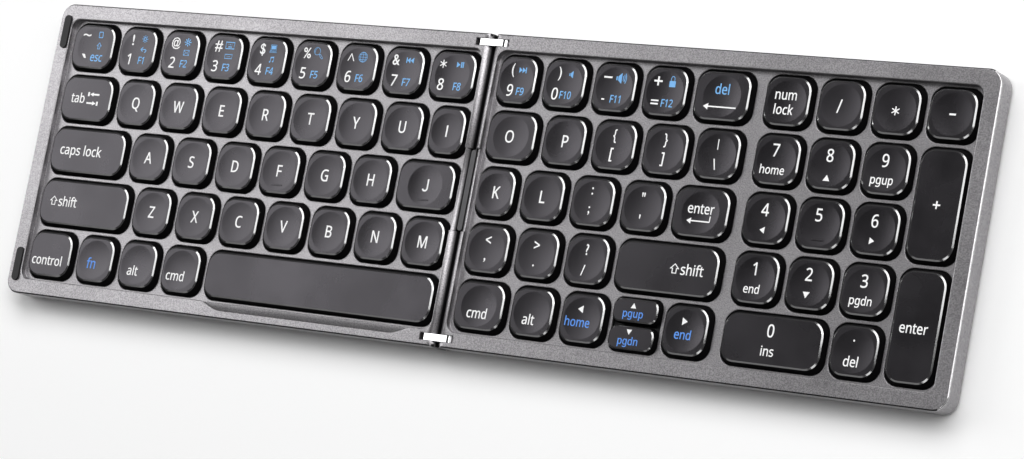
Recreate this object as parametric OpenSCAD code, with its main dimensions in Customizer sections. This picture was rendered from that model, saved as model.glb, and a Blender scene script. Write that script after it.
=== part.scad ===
// Folding keyboard with a number pad.
// Two key fields are joined by a double-axis link hinge and close keys to keys.
// Units are millimetres: x runs along the keyboard, y towards its rear edge, z up.
// x = 0 is the fold line and z = 0 is the table under the rubber feet.

/* [Body] */
// Length of the open keyboard
body_l = 370; // [320:1:460]
// Depth from the front edge to the rear edge
body_d = 106.5; // [90:0.5:130]
// Height of the rims above the table
body_h = 9.4; // [8.4:0.1:12]
// Radius of the four outer corners, seen from above
corner_r = 5; // [2:0.5:9]
// Width of the rim round the key field
rim_w = 5.5; // [5:0.1:8]
// Depth of the deck below the rims
deck_drop = 2.4; // [2:0.1:3]
// Chamfer on the outer edge of the rim
edge_chamfer = 0.4; // [0.2:0.1:1]
// Radius of the key field's corners
field_r = 3.5; // [1:0.5:6]
// Length of the thumb relief in the front rim
relief_l = 91.4; // [40:0.2:120]

/* [Keys] */
// Space between the feet of two neighbouring keycaps
key_gap = 1.65; // [1.4:0.05:2.4]
// How far each keycap side leans in from foot to top
cap_flare = 1; // [0.4:0.1:1.4]
// Corner radius at the foot of a keycap
cap_r = 4.4; // [2:0.1:5]
// Depth of the round dish in a single keycap
dish_depth = 0.35; // [0.1:0.05:0.6]
// Diameter of the dish
dish_d = 13.6; // [8:0.1:15]
// How far a key goes down
key_travel = 1.5; // [1:0.1:1.6]
// Space round each keycap in its window
window_gap = 0.3; // [0.2:0.05:0.4]

/* [Hinge] */
// Distance from the fold line to each row of hinge pins
pin_x = 3.3; // [3.1:0.1:4]
// Depth of the pins below the rims, also the radius of the folding edges
pin_drop = 2.9; // [2.5:0.1:3]
// Diameter of a hinge pin
pin_d = 1.8; // [1.2:0.1:2]
// Running clearance between a pin and its link
pin_clear = 0.05; // [0.02:0.01:0.1]
// Thickness of a hinge link, along the fold line
link_t = 2.25; // [1.5:0.05:2.6]
// Length of the spine that covers the ribbon cable
spine_l = 27.4; // [16:0.2:40]

/* [Hidden] */
$fn = 48;
eps = 0.05;
corner_bulge = 0.05;

// Heights
foot_h = 0.8;
cover_z = foot_h;
cover_edge = 0.4;
cover_t = 0.9;
shell_z = cover_z + cover_edge;
tray_z = cover_z + cover_t;
deck_z = body_h - deck_drop;
deck_t = 0.9;
sheet_top = deck_z - deck_t - 0.85;
membrane_t = 0.25;
plate_t = 0.4;
plate_z = sheet_top - membrane_t - plate_t;
cap_top = body_h - 0.2;
cap_z = sheet_top + key_travel + 0.1;
cap_wall = 1;
cap_roof = cap_top - 1.1;
pin_z = body_h - pin_drop;

// Plan
half_l = body_l / 2;
half_d = body_d / 2;
wall_in = 2;
mouth_chamfer = 0.25;
field_x = half_l - rim_w;
field_y = half_d - rim_w;
fold_face = pin_x - pin_drop;
fold_rim = fold_face + 2.5;
inner_y = half_d - wall_in;
lip_y = field_y + 0.45;
sheet_y = field_y + 0.15;
solid_x = 8;
well_in = 0.6;

// Key layout. Widths are in key units, where one unit is the width of a letter key.
left_units = 9.225;
left_first = [1.13, 1.335, 1.885, 2.21, 1.13];
left_singles = [7, 7, 6, 6, 3];
block_units = 5.145;
right_last = [1.205, 1, 1.22, 2.12, 1];
right_singles = [3, 3, 3, 2, 3];
pad_columns = 4;
stack_gap = 0.4;
stack_flare = 0.6;
row_count = 5;
margin_left = 1.5;
margin_right = 0.65;
margin_fold = 1;
margin_y = 0.95;
cell_x0 = -field_x + margin_left - key_gap / 2;
cell_x1 = fold_rim + margin_fold - key_gap / 2;
pad_x1 = field_x - margin_right + key_gap / 2;
unit_x = (-cell_x1 - cell_x0) / left_units;
unit_y = (2 * (field_y - margin_y) + key_gap) / row_count;

function row_y(row) = unit_y * (row_count / 2 - row);
function left_x(row, key) =
    key == 0 ? cell_x0
    : key > left_singles[row] + 1 ? -cell_x1
    : cell_x0 + unit_x * (left_first[row] + key - 1);
function left_cell(row, key) =
    [left_x(row, key), left_x(row, key + 1), row_y(row + 1), row_y(row)];
function right_x(row, key) =
    key == 0 ? cell_x1
    : key > right_singles[row] + 1 ? cell_x1 + unit_x * block_units
    : cell_x1 + unit_x * (block_units - right_last[row] - right_singles[row] + key - 1);
function right_cell(row, key) =
    [right_x(row, key), right_x(row, key + 1), row_y(row + 1), row_y(row)];
function pad_x(column) = pad_x1 - unit_x * (pad_columns - column);
function pad_cell(column, row, wide = 1, tall = 1) =
    [pad_x(column), pad_x(column + wide), row_y(row + tall), row_y(row)];
function upper_part(c) = [c[0], c[1], (c[2] + c[3] + stack_gap - key_gap) / 2, c[3]];
function lower_part(c) = [c[0], c[1], c[2], (c[2] + c[3] - stack_gap + key_gap) / 2];
function mirrored(cells) = [for (c = cells) [-c[1], -c[0], c[2], c[3]]];
function centre(c) = [(c[0] + c[1]) / 2, (c[2] + c[3]) / 2];
function width(c) = c[1] - c[0];
function height(c) = c[3] - c[2];
function corner(c) = min(cap_r, 0.31 * (height(c) - key_gap));
function dish_width(c) = min(dish_d, min(width(c), height(c)) - key_gap - 2 * cap_flare - 1.4);

arrow_row = 4;
arrow_stack = 3;
left_cells = [for (row = [0:row_count - 1]) for (key = [0:left_singles[row] + 1]) left_cell(row, key)];
main_cells = [for (row = [0:row_count - 1]) for (key = [0:right_singles[row] + 1])
    if (row != arrow_row || key != arrow_stack) right_cell(row, key)];
stack_cell = right_cell(arrow_row, arrow_stack);
small_cells = [upper_part(stack_cell), lower_part(stack_cell)];
pad_top_cells = [for (column = [0:3]) pad_cell(column, 0)];
pad_digit_cells = [for (row = [1:3]) for (column = [0:2]) pad_cell(column, row)];
plus_cell = pad_cell(3, 1, 1, 2);
pad_enter_cell = pad_cell(3, 3, 1, 2);
zero_cell = pad_cell(0, 4, 2, 1);
point_cell = pad_cell(2, 4);
pad_cells = concat(pad_top_cells, pad_digit_cells, [plus_cell, pad_enter_cell, zero_cell, point_cell]);
right_cells = concat(main_cells, small_cells, pad_cells);
right_windows = concat(main_cells, [stack_cell], pad_cells);

// Hinge
notch_clear = 0.1;
link_half = 5.85;
link_r = 1.75;
link_y = half_d - 1.9 - link_t;
link_sweep = 3.2;
spine_x = 0.9;
spine_up = 1.4;
spine_down = 1.6;
spine_gap = 0.1;
tie_d = 0.6;

// Rubber bumpers on the left rim
bumper_l = 12;
bumper_w = 2.8;
bumper_sink = 0.8;
bumper_rise = 0.7;
bumper_x = half_l - 3.6;
bumper_y = half_d - 10.4;

// Scooped relief for the thumbs in front of the space bar
relief_x1 = -8.6;
relief_x0 = relief_x1 - relief_l;
relief_run = 10.5;
relief_depth = 3;
relief_r = 4.7;
relief_floor = body_h - 1.8;
relief_steps = 10;

// Homing bars
bar_l = 4.4;
bar_w = 0.5;
bar_y = 5;
bar_low = 0.02;

// Key supports
dome_r = 2.6;
dome_waist = 0.65;
dome_stem = 0.4;
dome_h = 1.3;
scissor_l = 9;
scissor_outer = 9.6;
scissor_inner = 7.7;
scissor_bar = 0.8;
scissor_t = 0.5;
plate_hole_r = 1.6;

// Fasteners and feet
screw_d = 1.6;
screw_head_d = 3;
screw_len = 4.6;
boss_r = 1.5;
boss_in = 1.6;
boss_side = 22;
boss_end = 3.75;
boss_outer = 63;
boss_inner = 61;
boss_fold = 12;
foot_l = 12;
foot_w = 5;
foot_x0 = 15;
foot_x1 = half_l - 15;
foot_y = half_d - 9;

// Charging port on the left side
port_y = 20;
port_w = 9;
port_h = 3.2;
port_l = 6.5;
port_z = tray_z + 0.15 + port_h / 2;
port_in = 0.4;

// Board, battery, magnets and ribbon cable
board_l = 58;
board_d = 34;
board_t = 0.6;
chip_t = 0.7;
chips = [[4, 8, 9, 13], [16, 24, -4, 4], [32, 44, -9, 7]];
battery_x = 40;
battery_l = 72;
battery_w = 52;
magnet_in = 3.6;
magnet_y = 12;
magnet_r = 1.35;
magnet_h = 1.9;
ribbon_l = 30;
ribbon_w = 20;
ribbon_t = 0.15;
ribbon_under = 0.2;
ribbon_end = 0.5;
ribbon_gap = 0.4;
ribbon_room = 0.5;

// Plain helpers

module slab(x0, x1, y0, y1, z0, z1) {
    translate([x0, y0, z0])
        cube([x1 - x0, y1 - y0, z1 - z0]);
}

module round_rect(x0, x1, y0, y1, r) {
    translate([x0 + r, y0])
        square([x1 - x0 - 2 * r, y1 - y0]);
    translate([x0, y0 + r])
        square([x1 - x0, y1 - y0 - 2 * r]);
    for (x = [x0 + r, x1 - r])
        for (y = [y0 + r, y1 - r])
            translate([x, y])
                circle(r = r);
}

module round_slab(x0, x1, y0, y1, z0, z1, r) {
    translate([0, 0, z0])
        linear_extrude(height = z1 - z0)
            round_rect(x0, x1, y0, y1, r);
}

// A block with leaning sides and rounded corners. Each corner's cone bulges past
// the flat sides by a hair, so that no two faces only graze each other.
module corner_cutter(z0, z1, r, lean) {
    slope = lean / (z1 - z0);
    inside = 0.05 * r;
    difference() {
        translate([inside, inside, z0 - 1])
            cube([r + 2, r + 2, z1 - z0 + 2]);
        translate([0, 0, z0 - 2])
            cylinder(h = z1 - z0 + 4, r1 = r + corner_bulge + 2 * slope,
                     r2 = r + corner_bulge - lean - 2 * slope);
    }
}

module leaning_block(x0, x1, y0, y1, z0, z1, r, lean) {
    corners = [[x1 - r, y1 - r], [x0 + r, y1 - r], [x0 + r, y0 + r], [x1 - r, y0 + r]];
    difference() {
        intersection() {
            translate([0, y1, 0])
                rotate([90, 0, 0])
                    linear_extrude(height = y1 - y0)
                        polygon([[x0, z0], [x1, z0], [x1 - lean, z1], [x0 + lean, z1]]);
            translate([x0, 0, 0])
                rotate([90, 0, 90])
                    linear_extrude(height = x1 - x0)
                        polygon([[y0, z0], [y1, z0], [y1 - lean, z1], [y0 + lean, z1]]);
        }
        for (i = [0:3])
            translate(corners[i])
                rotate(90 * i)
                    corner_cutter(z0, z1, r, lean);
    }
}

// A pill outline along y.
module pill(length, wide) {
    for (side = [-1, 1])
        translate([0, side * (length - wide) / 2])
            circle(d = wide);
    square([wide, length - wide], center = true);
}

// Keycaps

// A shallow bowl that cuts the round dish.
module dish(d) {
    dish_r = (pow(d / 2, 2) + pow(dish_depth, 2)) / (2 * dish_depth);
    translate([0, 0, cap_top - dish_depth])
        rotate_extrude()
            intersection() {
                translate([0, dish_r])
                    circle(r = dish_r, $fn = 720);
                square([d, dish_depth + 0.3]);
            }
}

module keycap(cell, dished = true, flare = cap_flare) {
    x0 = cell[0] + key_gap / 2;
    x1 = cell[1] - key_gap / 2;
    y0 = cell[2] + key_gap / 2;
    y1 = cell[3] - key_gap / 2;
    inset = cap_wall + flare;
    difference() {
        leaning_block(x0, x1, y0, y1, cap_z, cap_top, corner(cell), flare);
        slab(x0 + inset, x1 - inset, y0 + inset, y1 - inset, cap_z - 1, cap_roof);
        if (dished)
            translate(centre(cell))
                dish(dish_width(cell));
    }
}

module keycaps(cells, dished = true, flare = cap_flare) {
    color("#2b2a2e")
        for (cell = cells)
            keycap(cell, dished, flare);
}

// The raised bar that marks a finger's home key, on the near slope of the dish.
module homing_bars(cells) {
    color("#2b2a2e")
        for (cell = cells)
            translate(centre(cell))
                slab(-bar_l / 2, bar_l / 2, -bar_y - bar_w / 2, -bar_y + bar_w / 2, cap_roof, cap_top - bar_low);
}

// Housings

// Outline of a half seen from the front: chamfers outside, a round folding edge inside.
// The left half is drawn; the right half is its mirror image.
module half_profile() {
    c = edge_chamfer;
    polygon([
        [-half_l, shell_z + c], [-half_l + c, shell_z], [-fold_face, shell_z],
        [-fold_face, pin_z], [-pin_x, pin_z], [-pin_x, body_h],
        [-half_l + c, body_h], [-half_l, body_h - c]
    ]);
    intersection() {
        translate([-pin_x, pin_z])
            circle(r = pin_drop, $fn = 96);
        translate([-pin_x - eps, pin_z - eps])
            square(pin_drop + 1);
    }
}

module depth_profile() {
    c = edge_chamfer;
    polygon([
        [-half_d, shell_z + c], [-half_d + c, shell_z], [half_d - c, shell_z], [half_d, shell_z + c],
        [half_d, body_h - c], [half_d - c, body_h], [-half_d + c, body_h], [-half_d, body_h - c]
    ]);
}

module outer_corner(y) {
    c = edge_chamfer;
    translate([-half_l + corner_r, y, 0]) {
        translate([0, 0, shell_z])
            cylinder(h = c, r1 = corner_r - c, r2 = corner_r);
        translate([0, 0, shell_z + c])
            cylinder(h = body_h - shell_z - 2 * c, r = corner_r);
        translate([0, 0, body_h - c])
            cylinder(h = c, r1 = corner_r, r2 = corner_r - c);
    }
}

module half_block() {
    difference() {
        intersection() {
            translate([0, half_d, 0])
                rotate([90, 0, 0])
                    linear_extrude(height = body_d)
                        half_profile();
            translate([-half_l, 0, 0])
                rotate([90, 0, 90])
                    linear_extrude(height = half_l)
                        depth_profile();
        }
        for (side = [-1, 1])
            translate([-half_l - 1, side * half_d, body_h / 2])
                cube([2 * corner_r + 2, 2 * corner_r, 2 * body_h], center = true);
    }
    for (side = [-1, 1])
        outer_corner(side * (half_d - corner_r));
}

// The recess that holds the keys, with a thin chamfer round its mouth.
module field_recess() {
    c = mouth_chamfer;
    round_slab(-field_x, -fold_rim, -field_y, field_y, deck_z, body_h + 1, field_r);
    translate([0, 0, 2 * body_h - c])
        mirror([0, 0, 1])
            leaning_block(-field_x - c - eps, -fold_rim + eps, -field_y - c - eps, field_y + c + eps,
                body_h - c - eps, body_h + eps, field_r + c + eps, c + 2 * eps);
}

// The two small arrow keys share one window, so its corners follow theirs.
function is_stack(c) = c == stack_cell || c == mirrored([stack_cell])[0];
function window_corner(c) = corner(is_stack(c) ? small_cells[0] : c) + window_gap;

module key_windows(cells) {
    grow = window_gap - key_gap / 2;
    for (c = cells)
        round_slab(c[0] - grow, c[1] + grow, c[2] - grow, c[3] + grow, deck_z - deck_t - 1, deck_z + 1,
            window_corner(c));
}

// Space under the deck for the key sheets, the board or the battery.
module under_deck() {
    slab(-half_l + wall_in, -solid_x, -inner_y, inner_y, shell_z - 1, sheet_top);
    slab(-solid_x - 1, -fold_rim, -lip_y, lip_y, shell_z - 1, sheet_top);
    slab(-field_x + well_in, -fold_rim - well_in, -field_y + well_in, field_y - well_in,
        sheet_top - 1, deck_z - deck_t);
}

function boss_points() = [
    for (x = [-half_l + boss_end, -half_l + boss_outer, -boss_inner, -boss_fold])
        for (side = [-1, 1])
            [x, side * (x < -half_l + wall_in + boss_end ? half_d - boss_side : inner_y - boss_in)]
];

module bosses() {
    for (p = boss_points())
        translate([p[0], p[1], tray_z + eps])
            cylinder(r = boss_r, h = sheet_top + 0.5 - tray_z);
}

module boss_bores() {
    for (p = boss_points())
        translate([p[0], p[1], tray_z - 1])
            cylinder(d = screw_d, h = screw_len + 1);
}

module hinge_notches() {
    for (side = [-1, 1])
        translate([0, side * (link_y + link_t / 2), 0])
            slab(-pin_x - link_sweep - notch_clear, 1, -link_t / 2 - notch_clear, link_t / 2 + notch_clear,
                pin_z - link_sweep - notch_clear, body_h + 1);
}

module pin_bores() {
    for (side = [-1, 1])
        translate([-pin_x, side * (link_y + link_t / 2), pin_z])
            rotate([90, 0, 0])
                cylinder(d = pin_d, h = link_t + 2.8, center = true);
}

// The folding edge is turned down beside the spine.
module spine_seat() {
    reach = pin_x - spine_x - spine_gap;
    translate([-pin_x, spine_l / 2 + 0.4, pin_z])
        rotate([90, 0, 0])
            linear_extrude(height = spine_l + 0.8)
                difference() {
                    translate([0, -spine_down - 0.5])
                        square([pin_x + 1, pin_drop + spine_down + 2]);
                    circle(r = reach, $fn = 96);
                    translate([0, -spine_down - 1])
                        square([reach, spine_down + 1]);
                }
}

// Slot that lets the ribbon cable through the folding edge.
module ribbon_slot() {
    reach = ribbon_w / 2 + ribbon_room;
    slab(-fold_rim - 1, 1, -reach, reach, plate_z - ribbon_room, pin_z - ribbon_under);
}

module magnet_pockets() {
    for (side = [-1, 1])
        translate([-half_l + magnet_in, side * magnet_y, sheet_top - 1])
            cylinder(r = magnet_r + 0.05, h = magnet_h + 1.1);
}

module plain_housing(windows) {
    difference() {
        union() {
            difference() {
                half_block();
                field_recess();
                under_deck();
            }
            bosses();
        }
        key_windows(windows);
        boss_bores();
        hinge_notches();
        pin_bores();
        spine_seat();
        ribbon_slot();
        magnet_pockets();
    }
}

// Edge of the relief: an S-curve from the plain rim to the thin rim.
function s_curve(t) = t * t * (3 - 2 * t);
function relief_edge(x0, direction, depth) = [
    for (i = [0:relief_steps])
        let (t = direction > 0 ? i / relief_steps : 1 - i / relief_steps)
            [x0 + direction * relief_run * t, -field_y + 0.2 - depth * s_curve(t)]
];

module thumb_relief() {
    intersection() {
        translate([0, 0, relief_floor - 2])
            linear_extrude(height = body_h)
                polygon(concat(
                    relief_edge(relief_x0, 1, relief_depth),
                    relief_edge(relief_x1, -1, relief_depth),
                    [[relief_x1, -field_y + 2], [relief_x0, -field_y + 2]]
                ));
        translate([0, -field_y + 0.4, relief_floor + relief_r])
            rotate([0, 90, 0])
                cylinder(r = relief_r, h = 2 * body_l, center = true, $fn = 96);
    }
}

module bumper_pockets() {
    for (side = [-1, 1])
        translate([-bumper_x, side * bumper_y, body_h - bumper_sink])
            linear_extrude(height = bumper_sink + 1)
                pill(bumper_l + 0.1, bumper_w + 0.1);
}

module port_opening() {
    translate([-half_l + 3.5, port_y, port_z])
        rotate([0, 90, 0])
            linear_extrude(height = 2 * port_l, center = true)
                pill(port_w + 0.1, port_h + 0.1);
}

module left_top_housing() {
    color("#8f8c91")
        difference() {
            plain_housing(left_cells);
            thumb_relief();
            bumper_pockets();
            port_opening();
        }
}

module right_top_housing() {
    color("#8f8c91")
        mirror([1, 0, 0])
            plain_housing(mirrored(right_windows));
}

// Bottom covers

module cover() {
    inset = 0.5;
    difference() {
        union() {
            round_slab(-half_l + inset, -fold_face - inset, -half_d + inset, half_d - inset,
                cover_z, shell_z - eps / 5, corner_r - inset);
            slab(-half_l + wall_in + 0.2, -solid_x - 0.2, -inner_y + 0.2, inner_y - 0.2,
                shell_z - 0.1, tray_z);
        }
        for (p = boss_points())
            translate([p[0], p[1], cover_z - 1])
                cylinder(d = screw_head_d + 0.2, h = 1.5);
        for (p = boss_points())
            translate([p[0], p[1], cover_z - 1])
                cylinder(d = screw_d + 0.3, h = 3);
    }
}

module left_bottom_cover() {
    color("#57555a")
        cover();
}

module right_bottom_cover() {
    color("#57555a")
        mirror([1, 0, 0])
            cover();
}

module screws() {
    for (p = boss_points())
        translate([p[0], p[1], cover_z + 0.1]) {
            cylinder(d = screw_head_d, h = 0.4);
            cylinder(d = screw_d, h = screw_len);
        }
}

module left_screws() {
    color("#3a3a3d")
        screws();
}

module right_screws() {
    color("#3a3a3d")
        mirror([1, 0, 0])
            screws();
}

module feet() {
    for (x = [-foot_x0, -foot_x1])
        for (side = [-1, 1])
            translate([x, side * foot_y, 0])
                linear_extrude(height = foot_h)
                    rotate(90)
                        pill(foot_l, foot_w);
}

module left_feet() {
    color("#1b1b1d")
        feet();
}

module right_feet() {
    color("#1b1b1d")
        mirror([1, 0, 0])
            feet();
}

module left_rim_bumpers() {
    color("#1d1c1f")
        for (side = [-1, 1])
            translate([-bumper_x, side * bumper_y, body_h - bumper_sink])
                linear_extrude(height = bumper_sink + bumper_rise)
                    pill(bumper_l, bumper_w);
}

// Inner sheets and key supports

// The plate and the membrane stop short of the charging port.
module sheet(z, thick) {
    difference() {
        slab(-field_x + 0.2, -fold_rim - 0.2, -sheet_y, sheet_y, z, z + thick);
        translate([-field_x, port_y, z - 1])
            slab(-1, port_l - rim_w + 1.5, -port_w / 2 - 0.6, port_w / 2 + 0.6, 0, 3);
    }
}

module backplate(cells) {
    difference() {
        sheet(plate_z, plate_t);
        for (c = cells)
            translate([centre(c)[0], centre(c)[1], plate_z - 1])
                cylinder(r = plate_hole_r, h = 2);
    }
}

module left_backplate() {
    color("#b9bbbe")
        backplate(left_cells);
}

module right_backplate() {
    color("#b9bbbe")
        mirror([1, 0, 0])
            backplate(mirrored(right_cells));
}

module left_membrane() {
    color("#26272b")
        sheet(plate_z + plate_t, membrane_t);
}

module right_membrane() {
    color("#26272b")
        mirror([1, 0, 0])
            sheet(plate_z + plate_t, membrane_t);
}

// Length of the scissor frames under a key, short under the small arrow keys.
function scissor_reach(c) =
    min(scissor_l, height(c) - key_gap - 2 * (cap_wall + cap_flare) - scissor_t);

module dome(c) {
    r = min(dome_r, scissor_reach(c) / 2 - scissor_bar - 0.4);
    cylinder(r1 = r, r2 = dome_waist * r, h = dome_h);
    cylinder(r = dome_stem * r, h = cap_roof - sheet_top - eps);
}

module domes(cells) {
    color("#d9d4c8")
        for (c = cells)
            translate([centre(c)[0], centre(c)[1], sheet_top])
                dome(c);
}

module left_rubber_domes() {
    domes(left_cells);
}

module right_rubber_domes() {
    domes(right_cells);
}

// One rectangular frame of a scissor pair, tilted about the middle of the key.
module scissor_frame(long, wide, tilt) {
    translate([0, 0, (sheet_top + cap_roof) / 2])
        rotate([tilt, 0, 0])
            difference() {
                cube([wide, long, scissor_t], center = true);
                cube([wide - 2 * scissor_bar, long - 2 * scissor_bar, 2 * scissor_t], center = true);
            }
}

module scissor_pair(c) {
    reach = scissor_reach(c);
    tilt = asin((cap_roof - sheet_top - 0.8) / reach);
    translate(concat(centre(c), 0)) {
        scissor_frame(reach, scissor_outer, tilt);
        scissor_frame(reach, scissor_inner, -tilt);
    }
}

module scissors(cells) {
    color("#c9c9c4")
        for (c = cells)
            scissor_pair(c);
}

module left_scissor_supports() {
    scissors(left_cells);
}

module right_scissor_supports() {
    scissors(right_cells);
}

// Electronics

module controller_board() {
    board_x0 = -half_l + port_in + port_l;
    chip_z = tray_z + board_t;
    color("#1f5b3c")
        slab(board_x0, board_x0 + board_l, port_y - board_d / 2, port_y + board_d / 2,
            tray_z + eps, chip_z + eps);
    color("#202124")
        for (chip = chips)
            translate([board_x0, port_y, chip_z])
                slab(chip[0], chip[1], chip[2], chip[3], 0, chip_t);
}

module usb_c_port() {
    color("#c4c6c9")
        translate([-half_l + port_in + port_l / 2, port_y, port_z])
            rotate([0, 90, 0]) {
                difference() {
                    linear_extrude(height = port_l, center = true)
                        pill(port_w, port_h);
                    translate([0, 0, -1])
                        linear_extrude(height = port_l, center = true)
                            pill(port_w - 0.6, port_h - 0.6);
                }
                cube([0.7, port_w - 2.2, port_l - 1], center = true);
            }
}

module battery() {
    color("#3f4a78")
        slab(battery_x, battery_x + battery_l, -battery_w / 2, battery_w / 2, tray_z + eps, plate_z - eps);
}

module magnets() {
    for (side = [-1, 1])
        translate([-half_l + magnet_in, side * magnet_y, sheet_top])
            cylinder(r = magnet_r, h = magnet_h);
}

module left_magnets() {
    color("#9da0a4")
        magnets();
}

module right_magnets() {
    color("#9da0a4")
        mirror([1, 0, 0])
            magnets();
}

// The flat ribbon cable runs under the key sheets and turns up beside the spine.
module ribbon() {
    z0 = plate_z - ribbon_under;
    z1 = pin_z - ribbon_end;
    rise = spine_x + ribbon_gap;
    translate([0, ribbon_w / 2, 0])
        rotate([90, 0, 0])
            linear_extrude(height = ribbon_w) {
                translate([-ribbon_l, z0])
                    square([ribbon_l - rise, ribbon_t]);
                translate([-rise - ribbon_t, z0])
                    square([ribbon_t, z1 - z0]);
            }
}

module left_ribbon() {
    color("#c8862f")
        ribbon();
}

module right_ribbon() {
    color("#c8862f")
        mirror([1, 0, 0])
            ribbon();
}

// Hinge

module link_outline() {
    translate([0, pin_z])
        round_rect(-link_half, link_half, -pin_drop, pin_drop, link_r);
}

module hinge_links() {
    color("#dcdde0")
        for (side = [-1, 1])
            translate([0, side * (link_y + link_t / 2), 0])
                difference() {
                    translate([0, link_t / 2, 0])
                        rotate([90, 0, 0])
                            linear_extrude(height = link_t)
                                link_outline();
                    for (x = [-pin_x, pin_x])
                        translate([x, 0, pin_z])
                            rotate([90, 0, 0])
                                cylinder(d = pin_d + 2 * pin_clear, h = link_t + 2, center = true);
                }
}

module pins() {
    for (side = [-1, 1])
        translate([-pin_x, side * (link_y + link_t / 2), pin_z])
            rotate([90, 0, 0])
                cylinder(d = pin_d, h = link_t + 2.7, center = true);
}

module left_hinge_pins() {
    color("#a9abaf")
        pins();
}

module right_hinge_pins() {
    color("#a9abaf")
        mirror([1, 0, 0])
            pins();
}

// The spine hides the bend of the ribbon cable; its tie rod joins the two links.
module hinge_spine() {
    color("#4a494d") {
        translate([0, 0, pin_z - spine_down])
            linear_extrude(height = spine_down + spine_up)
                pill(spine_l, 2 * spine_x);
        translate([0, 0, pin_z])
            rotate([90, 0, 0])
                cylinder(d = tie_d, h = 2 * link_y, center = true);
    }
}

// Keys on the left half

module key_escape() {
    keycaps([left_cell(0, 0)]);
}

module keys_number_left() {
    keycaps([for (key = [1:8]) left_cell(0, key)]);
}

module key_tab() {
    keycaps([left_cell(1, 0)], false);
}

module keys_upper_left() {
    keycaps([for (key = [1:8]) left_cell(1, key)]);
}

module key_caps_lock() {
    keycaps([left_cell(2, 0)], false);
}

module keys_home_left() {
    keycaps([for (key = [1:7]) left_cell(2, key)]);
    homing_bars([left_cell(2, 4), left_cell(2, 7)]);
}

module key_left_shift() {
    keycaps([left_cell(3, 0)], false);
}

module keys_lower_left() {
    keycaps([for (key = [1:7]) left_cell(3, key)]);
}

module key_control() {
    keycaps([left_cell(4, 0)], false);
}

module key_function() {
    keycaps([left_cell(4, 1)]);
}

module key_left_alt() {
    keycaps([left_cell(4, 2)]);
}

module key_left_command() {
    keycaps([left_cell(4, 3)]);
}

module key_space() {
    keycaps([left_cell(4, 4)], false);
}

// Keys on the right half

module keys_number_right() {
    keycaps([for (key = [0:3]) right_cell(0, key)]);
}

module key_delete() {
    keycaps([right_cell(0, 4)]);
}

module keys_upper_right() {
    keycaps([for (key = [0:4]) right_cell(1, key)]);
}

module keys_home_right() {
    keycaps([for (key = [0:3]) right_cell(2, key)]);
}

module key_enter() {
    keycaps([right_cell(2, 4)]);
}

module keys_lower_right() {
    keycaps([for (key = [0:2]) right_cell(3, key)]);
}

module key_right_shift() {
    keycaps([right_cell(3, 3)], false);
}

module key_right_command() {
    keycaps([right_cell(4, 0)]);
}

module key_right_alt() {
    keycaps([right_cell(4, 1)]);
}

module key_arrow_left() {
    keycaps([right_cell(4, 2)]);
}

module key_arrow_right() {
    keycaps([right_cell(4, 4)]);
}

module key_arrow_up() {
    keycaps([small_cells[0]], false, stack_flare);
}

module key_arrow_down() {
    keycaps([small_cells[1]], false, stack_flare);
}

module keys_pad_top() {
    keycaps(pad_top_cells);
}

module keys_pad_digits() {
    keycaps(pad_digit_cells);
    homing_bars([pad_cell(1, 2)]);
}

module key_pad_plus() {
    keycaps([plus_cell], false);
}

module key_pad_enter() {
    keycaps([pad_enter_cell], false);
}

module key_pad_zero() {
    keycaps([zero_cell], false);
}

module key_pad_point() {
    keycaps([point_cell]);
}

left_top_housing();
left_bottom_cover();
left_screws();
left_feet();
left_rim_bumpers();
left_backplate();
left_membrane();
left_rubber_domes();
left_scissor_supports();
controller_board();
usb_c_port();
left_magnets();
left_ribbon();
left_hinge_pins();
hinge_links();
hinge_spine();
right_top_housing();
right_bottom_cover();
right_screws();
right_feet();
right_backplate();
right_membrane();
right_rubber_domes();
right_scissor_supports();
battery();
right_magnets();
right_ribbon();
right_hinge_pins();
key_escape();
keys_number_left();
key_tab();
keys_upper_left();
key_caps_lock();
keys_home_left();
key_left_shift();
keys_lower_left();
key_control();
key_function();
key_left_alt();
key_left_command();
key_space();
keys_number_right();
key_delete();
keys_upper_right();
keys_home_right();
key_enter();
keys_lower_right();
key_right_shift();
key_right_command();
key_right_alt();
key_arrow_left();
key_arrow_up();
key_arrow_down();
key_arrow_right();
keys_pad_top();
keys_pad_digits();
key_pad_plus();
key_pad_enter();
key_pad_zero();
key_pad_point();
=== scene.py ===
import math

import bmesh
import bpy
from mathutils import Matrix, Vector


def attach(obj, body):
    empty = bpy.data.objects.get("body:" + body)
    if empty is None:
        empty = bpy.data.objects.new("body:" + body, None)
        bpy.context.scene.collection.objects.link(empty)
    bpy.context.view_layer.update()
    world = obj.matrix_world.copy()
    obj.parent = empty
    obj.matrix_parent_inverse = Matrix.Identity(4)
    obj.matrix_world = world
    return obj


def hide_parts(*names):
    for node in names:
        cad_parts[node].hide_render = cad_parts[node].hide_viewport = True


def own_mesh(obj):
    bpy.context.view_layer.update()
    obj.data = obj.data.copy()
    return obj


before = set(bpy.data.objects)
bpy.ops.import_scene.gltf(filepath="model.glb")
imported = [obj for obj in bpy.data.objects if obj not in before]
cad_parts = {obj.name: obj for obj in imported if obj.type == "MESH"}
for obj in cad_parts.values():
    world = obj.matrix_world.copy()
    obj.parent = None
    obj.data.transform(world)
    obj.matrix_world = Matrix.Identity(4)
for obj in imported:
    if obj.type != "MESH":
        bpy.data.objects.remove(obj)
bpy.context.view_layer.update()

MM = 0.001

# ---------------------------------------------------------------- layout, in millimetres

HALF_LENGTH = 185.0
HALF_DEPTH = 53.25
KEY_GAP = 1.65
CAP_TOP = 9.2
CAP_FOOT = 6.85
CAP_ROOF = 8.1
CAP_FLARE = 1.0
CAP_RADIUS = 4.4
STACK_GAP = 0.4
STACK_FLARE = 0.6
DISH_DEPTH = 0.35
DISH_WIDTH = 13.6

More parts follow.
